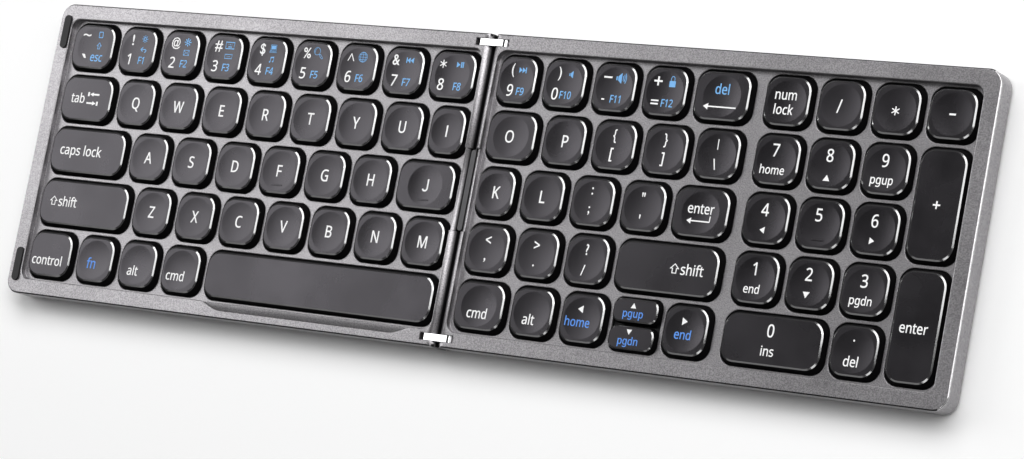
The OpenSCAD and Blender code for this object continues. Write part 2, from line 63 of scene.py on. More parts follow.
# Widths in key units: the first key of each row, then how many single keys follow it.
# On the right half the last key of the row is the odd one.
LEFT_UNITS = 9.225
LEFT_FIRST = (1.13, 1.335, 1.885, 2.21, 1.13)
LEFT_SINGLES = (7, 7, 6, 6, 3)
BLOCK_UNITS = 5.145
RIGHT_LAST = (1.205, 1, 1.22, 2.12, 1)
RIGHT_SINGLES = (3, 3, 3, 2, 3)
CELL_LEFT = -178.825
CELL_FOLD = 3.075
PAD_RIGHT = 179.675
UNIT_X = (-CELL_FOLD - CELL_LEFT) / LEFT_UNITS
UNIT_Y = 19.05
ROWS = 5


def row_y(row):
    """The rear edge of a row; row 0 is the rearmost."""
    return UNIT_Y * (ROWS / 2 - row)


def left_x(row, key):
    if key == 0:
        return CELL_LEFT
    if key > LEFT_SINGLES[row] + 1:
        return -CELL_FOLD
    return CELL_LEFT + UNIT_X * (LEFT_FIRST[row] + key - 1)


def right_x(row, key):
    if key == 0:
        return CELL_FOLD
    if key > RIGHT_SINGLES[row] + 1:
        return CELL_FOLD + UNIT_X * BLOCK_UNITS
    return CELL_FOLD + UNIT_X * (BLOCK_UNITS - RIGHT_LAST[row] - RIGHT_SINGLES[row] + key - 1)


# A cell is the room of one key: left, right, front and rear edge.


def left_cell(row, key):
    return (left_x(row, key), left_x(row, key + 1), row_y(row + 1), row_y(row))


def right_cell(row, key):
    return (right_x(row, key), right_x(row, key + 1), row_y(row + 1), row_y(row))


def pad_cell(column, row, wide=1, tall=1):
    x = PAD_RIGHT - UNIT_X * (4 - column)
    return (x, x + UNIT_X * wide, row_y(row + tall), row_y(row))


def half_cell(cell, upper):
    """The rear or front half of a cell, for two keys stacked in one place."""
    x0, x1, y0, y1 = cell
    if upper:
        return (x0, x1, (y0 + y1 + STACK_GAP - KEY_GAP) / 2, y1)
    return (x0, x1, y0, (y0 + y1 - STACK_GAP + KEY_GAP) / 2)


def centre(cell):
    return ((cell[0] + cell[1]) / 2, (cell[2] + cell[3]) / 2)


# ---------------------------------------------------------------- materials

# A Mix node names its sockets alike for each kind of value, so they are picked by place.
MIX_VALUE_UNDER, MIX_VALUE_OVER = 2, 3
MIX_UNDER, MIX_OVER, MIX_RESULT = 6, 7, 2

NOISE_SPAN = (0.3, 0.7)  # most noise values lie in it
CLOUD_DETAIL = 4
GRAIN_DETAIL = 2

# The housings' metal
BLASTED_METALLIC = 0.85
BLASTED_CLOUD = 25
BLASTED_GRAIN = 2700
BLASTED_SWING = 0.05
BLASTED_STRENGTH = 0.5
BLASTED_DEPTH = 0.02
SPARKLE_SPAN = (0.34, 0.66)
CHAMFER_TILT = math.sqrt(0.5)  # how far the normal of a 45 degree cut points up
CHAMFER_TILT_SPAN = 0.12
# Bands for the outer chamfers: a painted highlight at the right end, a painted dark reflection
# along the other edges.
END_BAND = 3.0  # the cuts are sought this far in from the right end
EDGE_BAND = 0.9  # and this far in from the other edges
CUT_ROUGHNESS = 0.22
# Painted shade in the grooves along the fold: how far from the fold and how deep it reaches, and
# its colour, which also paints the dark outer chamfers.
FOLD_SHADE_REACH = (2.2 * MM, 2.8 * MM)
FOLD_SHADE_DEPTH = (7.6 * MM, 8.7 * MM)
PAINTED_SHADE_COLOUR = (0.025, 0.0245, 0.026)
EDGE_ROUNDING = 0.4
ROUNDING_SAMPLES = 6


def new_material(name, colour, roughness, metallic=0.0, **sockets):
    """A Principled material; returns it with its node tree and its shader."""
    material = bpy.data.materials.new(name)
    material.use_nodes = True
    tree = material.node_tree
    shader = tree.nodes["Principled BSDF"]
    shader.inputs["Base Color"].default_value = (*colour, 1)
    shader.inputs["Roughness"].default_value = roughness
    shader.inputs["Metallic"].default_value = metallic
    for key, value in sockets.items():
        shader.inputs[key.replace("_", " ")].default_value = value
    return material, tree, shader


def noise(tree, scale, detail):
    """Noise on the object's own coordinates, with scale in grains per metre."""
    place = tree.nodes.new("ShaderNodeTexCoord")
    texture = tree.nodes.new("ShaderNodeTexNoise")
    texture.inputs["Scale"].default_value = scale
    texture.inputs["Detail"].default_value = detail
    tree.links.new(place.outputs["Object"], texture.inputs["Vector"])
    return texture.outputs["Fac"]


def object_axes(tree, output):
    """X, Y and Z of the object's own coordinates or normal."""
    place = tree.nodes.new("ShaderNodeTexCoord")
    axes = tree.nodes.new("ShaderNodeSeparateXYZ")
    tree.links.new(place.outputs[output], axes.inputs["Vector"])
    return axes.outputs["X"], axes.outputs["Y"], axes.outputs["Z"]


def maths(tree, operation, *values):
    """One Math node; each value is another node's output or a plain number."""
    node = tree.nodes.new("ShaderNodeMath")
    node.operation = operation
    for socket, value in zip(node.inputs, values):
        if isinstance(value, (int, float)):
            socket.default_value = value
        else:
            tree.links.new(value, socket)
    return node.outputs[0]


def spread(tree, value, low, high, source=NOISE_SPAN):
    """Stretches a value from its source span to the range low to high."""
    node = tree.nodes.new("ShaderNodeMapRange")
    node.inputs["From Min"].default_value, node.inputs["From Max"].default_value = source
    node.inputs["To Min"].default_value = low
    node.inputs["To Max"].default_value = high
    tree.links.new(value, node.inputs["Value"])
    return node.outputs["Result"]


def mix_colour(tree, factor, under, over):
    """Mixes two colours; each is a plain colour or another node's output."""
    node = tree.nodes.new("ShaderNodeMix")
    node.data_type = "RGBA"
    for index, colour in ((MIX_UNDER, under), (MIX_OVER, over)):
        if isinstance(colour, tuple):
            node.inputs[index].default_value = (*colour, 1)
        else:
            tree.links.new(colour, node.inputs[index])
    tree.links.new(factor, node.inputs["Factor"])
    return node.outputs[MIX_RESULT]


def bump(tree, shader, height, strength, distance):
    """Raises the surface by another node's value, and returns the bump node."""
    node = tree.nodes.new("ShaderNodeBump")
    node.inputs["Strength"].default_value = strength
    node.inputs["Distance"].default_value = distance
    tree.links.new(height, node.inputs["Height"])
    tree.links.new(node.outputs["Normal"], shader.inputs["Normal"])
    return node


def grained(name, dark, light, roughness, metallic=0.0, grain=3000, cloud=60,
            depth=0.02, strength=0.4, rough_swing=0.06, **sockets):
    """A surface with a slow colour cloud, a fine grain in the bump and an uneven gloss."""
    material, tree, shader = new_material(name, light, roughness, metallic, **sockets)
    clouds = noise(tree, cloud, CLOUD_DETAIL)
    grains = noise(tree, grain, GRAIN_DETAIL)
    both = maths(tree, "ADD", spread(tree, clouds, 0, 0.5), spread(tree, grains, 0, 0.5))
    tree.links.new(mix_colour(tree, both, dark, light), shader.inputs["Base Color"])
    gloss = spread(tree, clouds, roughness - rough_swing, roughness + rough_swing)
    tree.links.new(gloss, shader.inputs["Roughness"])
    bump(tree, shader, grains, strength, depth * MM)
    return material


def outer_chamfers(tree):
    """Two masks: the chamfer round the right end, for a painted highlight, and the one along the
    other outer edges, for a painted dark reflection.
    """
    tilt = object_axes(tree, "Normal")[2]
    x, y, _ = object_axes(tree, "Object")
    off_slope = maths(tree, "ABSOLUTE", maths(tree, "SUBTRACT", tilt, CHAMFER_TILT))
    sloped = maths(tree, "LESS_THAN", off_slope, CHAMFER_TILT_SPAN)
    right = maths(tree, "GREATER_THAN", x, (HALF_LENGTH - END_BAND) * MM)
    left = maths(tree, "LESS_THAN", x, -(HALF_LENGTH - EDGE_BAND) * MM)
    from_middle = maths(tree, "ABSOLUTE", y)
    long_edge = maths(tree, "GREATER_THAN", from_middle, (HALF_DEPTH - EDGE_BAND) * MM)
    elsewhere = maths(tree, "SUBTRACT", 1, right)
    other = maths(tree, "MULTIPLY", maths(tree, "MAXIMUM", left, long_edge), elsewhere)
    return maths(tree, "MULTIPLY", sloped, right), maths(tree, "MULTIPLY", sloped, other)


def painted_fold_shade(tree):
    """Painted shade along the fold: 1 at the bottom of the grooves, 0 up on the rims and out on the
    deck.
    """
    x, _, z = object_axes(tree, "Object")
    near = spread(tree, maths(tree, "ABSOLUTE", x), 1, 0, FOLD_SHADE_REACH)
    low = spread(tree, z, 1, 0, FOLD_SHADE_DEPTH)
    return maths(tree, "MULTIPLY", near, low)


def blasted_metal(name, dark, light, cut, rough):
    """Bead-blasted, anodised metal: sparkling grain, a painted highlight on the right end's
    chamfer, painted shade in the fold grooves and a painted dark reflection on the other outer
    chamfers.
    """
    material, tree, shader = new_material(name, light, rough, BLASTED_METALLIC)
    clouds = noise(tree, BLASTED_CLOUD, CLOUD_DETAIL)
    grains = noise(tree, BLASTED_GRAIN, 1)
    sparkle = mix_colour(tree, spread(tree, grains, 0, 1, SPARKLE_SPAN), dark, light)
    cut_end_highlight, painted_dark_edge = outer_chamfers(tree)
    # Painted shade in the fold grooves and a painted dark reflection on the other outer chamfers.
    shaded = maths(tree, "MAXIMUM", painted_fold_shade(tree), painted_dark_edge)
    body = mix_colour(tree, shaded, sparkle, PAINTED_SHADE_COLOUR)
    # The right end's chamfer takes a painted highlight colour and a lower roughness.
    tree.links.new(mix_colour(tree, cut_end_highlight, body, cut), shader.inputs["Base Color"])
    gloss = tree.nodes.new("ShaderNodeMix")
    tree.links.new(cut_end_highlight, gloss.inputs["Factor"])
    uneven = spread(tree, clouds, rough - BLASTED_SWING, rough + BLASTED_SWING)
    tree.links.new(uneven, gloss.inputs[MIX_VALUE_UNDER])
    gloss.inputs[MIX_VALUE_OVER].default_value = CUT_ROUGHNESS
    tree.links.new(gloss.outputs[0], shader.inputs["Roughness"])
    rounded = tree.nodes.new("ShaderNodeBevel")
    rounded.samples = ROUNDING_SAMPLES
    rounded.inputs["Radius"].default_value = EDGE_ROUNDING * MM
    relief = bump(tree, shader, grains, BLASTED_STRENGTH, BLASTED_DEPTH * MM)
    tree.links.new(rounded.outputs["Normal"], relief.inputs["Normal"])
    return material


# The third colour is a painted highlight on the right end's chamfer.
HOUSING = blasted_metal("anodised_grey", (0.232, 0.223, 0.234), (0.413, 0.402, 0.415),
                        (0.85, 0.84, 0.85), 0.36)
HOUSING_EDGE = grained("cut_edge_grey", (0.50, 0.49, 0.50), (0.62, 0.61, 0.62), 0.24, 0.9,
                       grain=4500, cloud=25, depth=0.01, strength=0.3)
COVER = grained("underside_grey", (0.07, 0.069, 0.073), (0.10, 0.099, 0.104), 0.55, 0.3,
                grain=2500, cloud=30, depth=0.02)
# One cap plastic in three copies: the top, a lighter and shinier chamfer for a painted highlight,
# and darker, duller skirts for painted shade.
CAP_TOP_FINISH = grained("keycap_top", (0.0055, 0.0052, 0.0057), (0.0085, 0.008, 0.0088),
                         0.29, 0.0, grain=6000, cloud=45, depth=0.006, strength=0.35,
                         Specular_IOR_Level=0.7, Specular_Tint=(0.96, 0.91, 1.0, 1.0))
CAP_EDGE_HIGHLIGHT = grained("keycap_edge_painted_highlight", (0.020, 0.019, 0.021), (0.030, 0.029, 0.031), 0.15, 0.0,
                          grain=5000, cloud=90, depth=0.003, strength=0.2, rough_swing=0.03,
                          IOR=2.2, Specular_IOR_Level=1.0)
CAP_SKIRT_SHADE = grained("keycap_skirt_painted_shade", (0.002, 0.0018, 0.0021), (0.004, 0.0037, 0.0041),
                           0.55, 0.0, grain=4000, cloud=90, depth=0.01, strength=0.3,
                           Specular_IOR_Level=0.06)
LEGEND_WHITE = grained("white_legend", (0.88, 0.88, 0.88), (0.96, 0.96, 0.96), 0.5, 0.0,
                       grain=5000, cloud=200, depth=0.004)
LEGEND_BLUE = grained("blue_legend", (0.08, 0.25, 0.74), (0.11, 0.32, 0.84), 0.5, 0.0,
                      grain=5000, cloud=200, depth=0.004)
LEGEND_SKY = grained("sky_legend", (0.15, 0.40, 0.76), (0.21, 0.50, 0.88), 0.5, 0.0,
                     grain=5000, cloud=200, depth=0.004)
POLISHED = grained("polished_steel", (0.78, 0.78, 0.79), (0.86, 0.86, 0.87), 0.09, 1.0,
                   grain=1500, cloud=120, depth=0.002, strength=0.2, rough_swing=0.03)
SPINE = grained("spine_grey", (0.06, 0.059, 0.062), (0.085, 0.083, 0.088), 0.38, 0.2,
                grain=4000, cloud=80, depth=0.01)
RUBBER = grained("black_rubber", (0.012, 0.012, 0.013), (0.024, 0.024, 0.025), 0.72, 0.0,
                 grain=2500, cloud=150, depth=0.03)
BUMPER = grained("bumper_rubber", (0.010, 0.0095, 0.0105), (0.022, 0.021, 0.023), 0.7, 0.0,
                 grain=3000, cloud=150, depth=0.02)
PLATE = grained("key_plate_steel", (0.34, 0.34, 0.35), (0.52, 0.52, 0.53), 0.35, 1.0,
                grain=900, cloud=40, depth=0.01)
MEMBRANE = grained("membrane_film", (0.006, 0.006, 0.007), (0.012, 0.012, 0.013), 0.4, 0.0,
                   grain=600, cloud=50, depth=0.01)
DOME = grained("dome_silicone", (0.60, 0.57, 0.50), (0.74, 0.71, 0.64), 0.45, 0.0,
               grain=2500, cloud=300, depth=0.01, Subsurface_Weight=0.1)
SCISSOR = grained("scissor_plastic", (0.52, 0.52, 0.49), (0.66, 0.66, 0.63), 0.4, 0.0,
                  grain=2500, cloud=300, depth=0.01)
BOARD = grained("board_green", (0.008, 0.07, 0.03), (0.014, 0.11, 0.05), 0.35, 0.0,
                grain=1500, cloud=120, depth=0.02)
PORT = grained("port_steel", (0.45, 0.45, 0.46), (0.62, 0.62, 0.63), 0.28, 1.0,
               grain=2500, cloud=300, depth=0.01)
MAGNET = grained("magnet_nickel", (0.42, 0.41, 0.40), (0.58, 0.57, 0.55), 0.25, 1.0,
                 grain=1800, cloud=300, depth=0.01)
RIBBON = grained("ribbon_film", (0.45, 0.19, 0.03), (0.62, 0.28, 0.06), 0.35, 0.0,
                 grain=1200, cloud=200, depth=0.01)
PIN = grained("pin_steel", (0.42, 0.42, 0.43), (0.60, 0.60, 0.61), 0.3, 1.0,
              grain=2500, cloud=300, depth=0.01)
BATTERY = grained("battery_foil", (0.42, 0.43, 0.45), (0.60, 0.61, 0.63), 0.3, 0.9,
                  grain=500, cloud=60, depth=0.05)
SCREW = grained("screw_black", (0.03, 0.03, 0.032), (0.055, 0.055, 0.058), 0.35, 0.8,
                grain=3000, cloud=300, depth=0.01)

NODE_FINISH = {
    "left_top_housing": HOUSING, "right_top_housing": HOUSING,
    "left_bottom_cover": COVER, "right_bottom_cover": COVER,
    "left_screws": SCREW, "right_screws": SCREW,
    "left_feet": RUBBER, "right_feet": RUBBER,
    "left_rim_bumpers": BUMPER,
    "left_backplate": PLATE, "right_backplate": PLATE,
    "left_membrane": MEMBRANE, "right_membrane": MEMBRANE,
    "left_rubber_domes": DOME, "right_rubber_domes": DOME,
    "left_scissor_supports": SCISSOR, "right_scissor_supports": SCISSOR,
    "controller_board": BOARD, "usb_c_port": PORT,
    "left_magnets": MAGNET, "right_magnets": MAGNET,
    "left_ribbon": RIBBON, "right_ribbon": RIBBON,
    "left_hinge_pins": PIN, "right_hinge_pins": PIN,
    "hinge_links": POLISHED, "hinge_spine": SPINE,
    "battery": BATTERY,
}


def finish_node(name, material):
    """Gives a CAD node its material."""
    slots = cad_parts[name].data.materials
    slots.clear()
    slots.append(material)


for node_name, node_material in NODE_FINISH.items():
    finish_node(node_name, node_material)


WELD_REACH = 0.002
EDGE_WIDTH = 0.14
EDGE_SEGMENTS = 2
EDGE_ANGLE = 35
FLAT_ANGLE = 0.5


def soften_edges(name, edge_finish):
    """Rounds a CAD node's sharp edges a little; the rounding takes the edge finish."""
    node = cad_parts[name]
    node.data.materials.append(edge_finish)
    weld = node.modifiers.new("weld", "WELD")
    weld.merge_threshold = WELD_REACH * MM
    flat = node.modifiers.new("flat", "DECIMATE")
    flat.decimate_type = "DISSOLVE"
    flat.angle_limit = math.radians(FLAT_ANGLE)
    edge = node.modifiers.new("edge", "BEVEL")
    edge.width = EDGE_WIDTH * MM
    edge.segments = EDGE_SEGMENTS
    edge.limit_method = "ANGLE"
    edge.angle_limit = math.radians(EDGE_ANGLE)
    edge.material = 1
    edge.use_clamp_overlap = True


for housing_name in ("left_top_housing", "right_top_housing"):
    soften_edges(housing_name, HOUSING_EDGE)

# ---------------------------------------------------------------- keycaps

# Millimetres, except the shares, counts, slopes and the angle in degrees.
EDGE_CHAMFER = 0.36
CORNER_SHARE = 0.31  # a narrow cap's corner radius, as a share of its depth
CORNER_STEPS = 8
UPRIGHT = 1.0  # a cap's upright edges are longer than this
FOOT_WALL = 1.3  # wall of the hollow underside
MIDDLE_REACH = 0.3  # the top face is sought this near the cap's middle
DISH_MARGIN = 1.4
DISH_RINGS = 5
RING_INSET = 0.3
RIM_STEP = 1.5  # longer straight edges of a dished top are divided
SHARP_ANGLE = 28
TOP_SLOPE = 0.95
CHAMFER_SLOPE = 0.6
BAR_SIZE = (4.4, 0.5)
BAR_OFFSET = -5.0
BAR_DEPTH = 0.3
BAR_ROUNDING = 0.1


def link_piece(name, bm, materials):
    """Makes an object from a bmesh and puts it into the scene."""
    mesh = bpy.data.meshes.new(name)
    bm.to_mesh(mesh)
    bm.free()
    for material in materials:
        mesh.materials.append(material)
    piece = bpy.data.objects.new(name, mesh)
    bpy.context.scene.collection.objects.link(piece)
    return piece


def corner_radius(cell):
    return min(CAP_RADIUS, CORNER_SHARE * (cell[3] - cell[2] - KEY_GAP))


def dish_width(cell):
    shorter = min(cell[1] - cell[0], cell[3] - cell[2])
    return min(DISH_WIDTH, shorter - KEY_GAP - 2 * CAP_FLARE - DISH_MARGIN)


def dish_drop(cell, x, y):
    """How far the dish lies under the cap's top at a point, in millimetres."""
    cx, cy = centre(cell)
    reach = dish_width(cell) / 2
    ball = (reach ** 2 + DISH_DEPTH ** 2) / (2 * DISH_DEPTH)
    away = math.hypot(x - cx, y - cy)
    if away >= reach:
        return 0.0
    return math.sqrt(ball ** 2 - away ** 2) - (ball - DISH_DEPTH)


def divide_edge(edge, parts):
    """Splits one edge into equal parts."""
    start = edge.verts[0]
    end = edge.verts[1]
    for left in range(parts, 1, -1):
        fresh, vert = bmesh.utils.edge_split(edge, start, 1 / left)
        edge = edge if end in edge.verts else fresh
        start = vert


def keycap(bm, cell, dished, flare=CAP_FLARE):
    """One hollow keycap with leaning sides, round corners and a round dish.

    It returns the edges of the dish's rim.
    """
    x0, x1, y0, y1 = cell
    cx, cy = centre(cell)
    wide, deep = x1 - x0 - KEY_GAP, y1 - y0 - KEY_GAP
    made = bmesh.ops.create_cube(bm, size=1)["verts"]
    for v in made:
        top = v.co.z > 0
        lean = flare if top else 0
        v.co = Vector((
            (cx + math.copysign(wide / 2 - lean, v.co.x)) * MM,
            (cy + math.copysign(deep / 2 - lean, v.co.y)) * MM,
            (CAP_TOP if top else CAP_FOOT) * MM,
        ))
    uprights = [e for e in {e for v in made for e in v.link_edges}
                if abs(e.verts[0].co.z - e.verts[1].co.z) > UPRIGHT * MM]
    cut = bmesh.ops.bevel(bm, geom=uprights, offset=corner_radius(cell) * MM, offset_type="OFFSET",
                          segments=CORNER_STEPS, profile=0.5, affect="EDGES", material=-1)
    verts = {v for v in set(made) | set(cut["verts"]) if v.is_valid}
    faces = {f for v in verts for f in v.link_faces}
    roof = max(faces, key=lambda f: f.calc_center_median().z)
    foot = min(faces, key=lambda f: f.calc_center_median().z)
    # hollow underside
    bmesh.ops.inset_region(bm, faces=[foot], thickness=FOOT_WALL * MM, use_even_offset=True)
    bmesh.ops.translate(bm, verts=foot.verts[:], vec=(0, 0, (CAP_ROOF - CAP_FOOT) * MM))
    # narrow chamfer round the top, which takes the painted highlight
    bmesh.ops.bevel(bm, geom=list(roof.edges), offset=EDGE_CHAMFER * MM, offset_type="OFFSET",
                    segments=1, profile=0.5, affect="EDGES", material=-1, clamp_overlap=False)
    over_middle = [f for f in bm.faces
                   if abs(f.calc_center_median().x - cx * MM) < MIDDLE_REACH * MM
                   and abs(f.calc_center_median().y - cy * MM) < MIDDLE_REACH * MM]
    roof = max(over_middle, key=lambda f: f.calc_center_median().z)
    rim = []
    if dished:
        for edge in list(roof.edges):
            length = edge.calc_length() / MM
            if length > RIM_STEP:
                divide_edge(edge, round(length))
        reach = dish_width(cell) / 2
        for ring in range(DISH_RINGS):
            share = 1 - ring / DISH_RINGS
            bmesh.ops.inset_region(bm, faces=[roof], thickness=RING_INSET * MM,
                                   use_even_offset=True)
            for v in roof.verts:
                away = Vector((v.co.x / MM - cx, v.co.y / MM - cy))
                away = away.normalized() * reach * share
                v.co.x, v.co.y = (cx + away.x) * MM, (cy + away.y) * MM
                v.co.z = (CAP_TOP - dish_drop(cell, cx + away.x, cy + away.y)) * MM
            if ring == 0:
                rim = list(roof.edges)
        hub = bmesh.ops.poke(bm, faces=[roof])["verts"][0]
        hub.co = Vector((cx, cy, CAP_TOP - DISH_DEPTH)) * MM
    return rim


def homing_bar(bm, cell):
    """The raised bar on the near slope of a home key's dish."""
    cx, cy = centre(cell)
    made = bmesh.ops.create_cube(bm, size=1)["verts"]
    for v in made:
        v.co = Vector((
            (cx + v.co.x * BAR_SIZE[0]) * MM,
            (cy + BAR_OFFSET + v.co.y * BAR_SIZE[1]) * MM,
            (CAP_TOP - (0.0 if v.co.z > 0 else BAR_DEPTH)) * MM,
        ))
    middle = (CAP_TOP - BAR_DEPTH / 2) * MM
    top = [e for e in {e for v in made for e in v.link_edges}
           if e.verts[0].co.z == e.verts[1].co.z and e.verts[0].co.z > middle]
    bmesh.ops.bevel(bm, geom=top, offset=BAR_ROUNDING * MM, offset_type="OFFSET", segments=2,
                    profile=0.5, affect="EDGES", material=-1)


def shade_by_slope(bm):
    """Flat tops, the chamfer round them and the skirts get three copies of one plastic: a lighter,
    shinier chamfer as a painted highlight and darker, duller skirts as painted shade.
    """
    for face in bm.faces:
        slope = face.normal.z
        face.material_index = 0 if slope > TOP_SLOPE else 1 if slope > CHAMFER_SLOPE else 2
        face.smooth = True


def keycaps(name, cells, dished=True, flare=CAP_FLARE):
    """The caps of one CAD node as one piece, which rides on the key's own body."""
    bm = bmesh.new()
    rims = []
    for cell in cells:
        rims += keycap(bm, cell, dished, flare)
    bmesh.ops.recalc_face_normals(bm, faces=bm.faces)
    shade_by_slope(bm)
    for cell in cells:
        if cell in HOME_CELLS:
            homing_bar(bm, cell)
    for edge in bm.edges:
        edge.smooth = edge.calc_face_angle(0) < math.radians(SHARP_ANGLE)
    for edge in rims:
        edge.smooth = False
    piece = link_piece(name + "_caps", bm, [CAP_TOP_FINISH, CAP_EDGE_HIGHLIGHT, CAP_SKIRT_SHADE])
    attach(piece, name)
    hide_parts(name)


STACK = right_cell(4, 3)
HOME_CELLS = (left_cell(2, 4), left_cell(2, 7), pad_cell(1, 2))
KEYS = {
    "key_escape": [left_cell(0, 0)],
    "keys_number_left": [left_cell(0, k) for k in range(1, 9)],
    "key_tab": [left_cell(1, 0)],
    "keys_upper_left": [left_cell(1, k) for k in range(1, 9)],
    "key_caps_lock": [left_cell(2, 0)],
    "keys_home_left": [left_cell(2, k) for k in range(1, 8)],
    "key_left_shift": [left_cell(3, 0)],
    "keys_lower_left": [left_cell(3, k) for k in range(1, 8)],
    "key_control": [left_cell(4, 0)],
    "key_function": [left_cell(4, 1)],
    "key_left_alt": [left_cell(4, 2)],
    "key_left_command": [left_cell(4, 3)],
    "key_space": [left_cell(4, 4)],
    "keys_number_right": [right_cell(0, k) for k in range(4)],
    "key_delete": [right_cell(0, 4)],
    "keys_upper_right": [right_cell(1, k) for k in range(5)],
    "keys_home_right": [right_cell(2, k) for k in range(4)],
    "key_enter": [right_cell(2, 4)],
    "keys_lower_right": [right_cell(3, k) for k in range(3)],
    "key_right_shift": [right_cell(3, 3)],
    "key_right_command": [right_cell(4, 0)],
    "key_right_alt": [right_cell(4, 1)],
    "key_arrow_left": [right_cell(4, 2)],
    "key_arrow_right": [right_cell(4, 4)],
    "key_arrow_up": [half_cell(STACK, True)],
    "key_arrow_down": [half_cell(STACK, False)],
    "keys_pad_top": [pad_cell(c, 0) for c in range(4)],
    "keys_pad_digits": [pad_cell(c, r) for r in (1, 2, 3) for c in range(3)],
    "key_pad_plus": [pad_cell(3, 1, 1, 2)],
    "key_pad_enter": [pad_cell(3, 3, 1, 2)],
    "key_pad_zero": [pad_cell(0, 4, 2, 1)],
    "key_pad_point": [pad_cell(2, 4)],
}
FLAT_KEYS = {
    "key_tab", "key_caps_lock", "key_left_shift", "key_control", "key_space", "key_right_shift",
    "key_arrow_up", "key_arrow_down", "key_pad_plus", "key_pad_enter", "key_pad_zero",
}

for key_node, key_cells in KEYS.items():
    small = key_node in ("key_arrow_up", "key_arrow_down")
    keycaps(key_node, key_cells, key_node not in FLAT_KEYS, STACK_FLARE if small else CAP_FLARE)

# ---------------------------------------------------------------- domes and scissors under the caps

SUPPORTS = {"rubber_domes": (DOME, "dome", "dome_silicone"),
            "scissor_supports": (SCISSOR, "scissor", "scissor_plastic")}


def loose_parts(bm):
    """The separate solids of a mesh, each as its list of vertices."""
    seen = set()
    parts = []
    for first in bm.verts:
        if first in seen:
            continue
        seen.add(first)
        part, waiting = [first], [first]
        while waiting:
            for edge in waiting.pop().link_edges:
                for v in edge.verts:
                    if v not in seen:
                        seen.add(v)
                        part.append(v)
                        waiting.append(v)
        parts.append(part)
    return parts


def inside(cell, x, y):
    return cell[0] < x < cell[1] and cell[2] < y < cell[3]


def key_supports(half, kind):
    """Splits a half's domes or scissors by key, as pieces that stay with the half."""
    node = half + "_" + kind
    material, word, finish = SUPPORTS[kind]
    for key_name, cells in KEYS.items():
        if (cells[0][0] < 0) != (half == "left"):
            continue
        bm = bmesh.new()
        bm.from_mesh(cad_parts[node].data)
        bmesh.ops.remove_doubles(bm, verts=bm.verts, dist=WELD_REACH * MM)
        away = []
        for part in loose_parts(bm):
            x = sum(v.co.x for v in part) / len(part) / MM
            y = sum(v.co.y for v in part) / len(part) / MM
            if not any(inside(cell, x, y) for cell in cells):
                away += part
        bmesh.ops.delete(bm, geom=away, context="VERTS")
        piece = link_piece(key_name + "_" + word, bm, [material])
        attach(piece, half + "_half")
        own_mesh(piece)
        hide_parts(node)


for half_name in ("left", "right"):
    for support_kind in SUPPORTS:
        key_supports(half_name, support_kind)

# ---------------------------------------------------------------- printed legends

# Heights and strokes are shares of the font size, lift and sink are millimetres.
SIGN_CAPITAL = 0.714
SIGN_ASCENDER = 0.76
SIGN_WIDTH = 0.86
SIGN_LIFT = 0.045
SIGN_SINK = 0.06
SIGN_WEIGHT = 0.011
SIGN_WEIGHTS = {
    "\uff0a": 0.022, "\U0001f505": 0.02, "\U0001f506": 0.02, "\U0001f582": 0.012,
    "\u21a9": 0.02, "\u25a2": 0.012,
}
SIGN_STEPS = 3
SIGN_HALF_DEPTH = 0.01
SIGN_WELD = 0.0005
LETTER_HEIGHT = 4.0
W, B = 0, 1  # white or blue ink


def sans(text):
    """The same words in the plain sans-serif alphabet of the built-in font."""
    out = []
    for sign in text:
        if sign == "J":
            out.append("\uff2a")
        elif "A" <= sign <= "Z" and sign != "I":
            out.append(chr(0x1D5A0 + ord(sign) - ord("A")))
        elif "a" <= sign <= "z":
            out.append(chr(0x1D5BA + ord(sign) - ord("a")))
        elif "0" <= sign <= "9":
            out.append(chr(0x1D7E2 + ord(sign) - ord("0")))
        else:
            out.append(sign)
    return "".join(out)


def sign_mesh(text):
    """Flat outline letters as a thin solid mesh, one em high."""
    curve = bpy.data.curves.new("sign", "FONT")
    curve.body = sans(text)
    curve.size = 1
    curve.align_y = "BOTTOM_BASELINE"
    curve.resolution_u = SIGN_STEPS
    curve.extrude = SIGN_HALF_DEPTH
    curve.bevel_depth = SIGN_WEIGHT if text.isascii() else SIGN_WEIGHTS.get(text, 0)
    curve.bevel_resolution = 0
    holder = bpy.data.objects.new("sign", curve)
    mesh = bpy.data.meshes.new_from_object(holder)
    bpy.data.objects.remove(holder)
    bpy.data.curves.remove(curve)
    return mesh


def print_sign(bm, cell, dished, text, dx, dy, high, ink, wide=SIGN_WIDTH, flip=False):
    """Prints one sign on a cap, dx and dy from its middle, high millimetres tall.

    Words are placed by their line and letter height, other signs by their own outline.
    """
    mesh = sign_mesh(text)
    xs = [v.co.x for v in mesh.vertices]
    ys = [v.co.y for v in mesh.vertices]
    word = text[-1].isalnum() and text.isascii()
    if word:
        size = high / (SIGN_CAPITAL if text[0].isupper() or text[0].isdigit() else SIGN_ASCENDER)
        middle = high / 2 / size
    else:
        size = high / (max(ys) - min(ys))
        middle = (max(ys) + min(ys)) / 2
    cx, cy = centre(cell)
    across = (max(xs) + min(xs)) / 2
    before = len(bm.verts)
    bm.from_mesh(mesh)
    bm.verts.ensure_lookup_table()
    fresh = bm.verts[before:]
    for v in fresh:
        x = cx + dx + (v.co.x - across) * size * wide
        y = cy + dy + (v.co.y - middle) * size * (-1 if flip else 1)
        drop = dish_drop(cell, x, y) if dished else 0.0
        lift = SIGN_LIFT if v.co.z > 0 else -SIGN_SINK
        v.co = Vector((x, y, CAP_TOP - drop + lift)) * MM
    for face in {f for v in fresh for f in v.link_faces}:
        face.material_index = ink
    bpy.data.meshes.remove(mesh)


TOP_ROW = {"key_escape", "keys_number_left", "keys_number_right", "key_delete"}


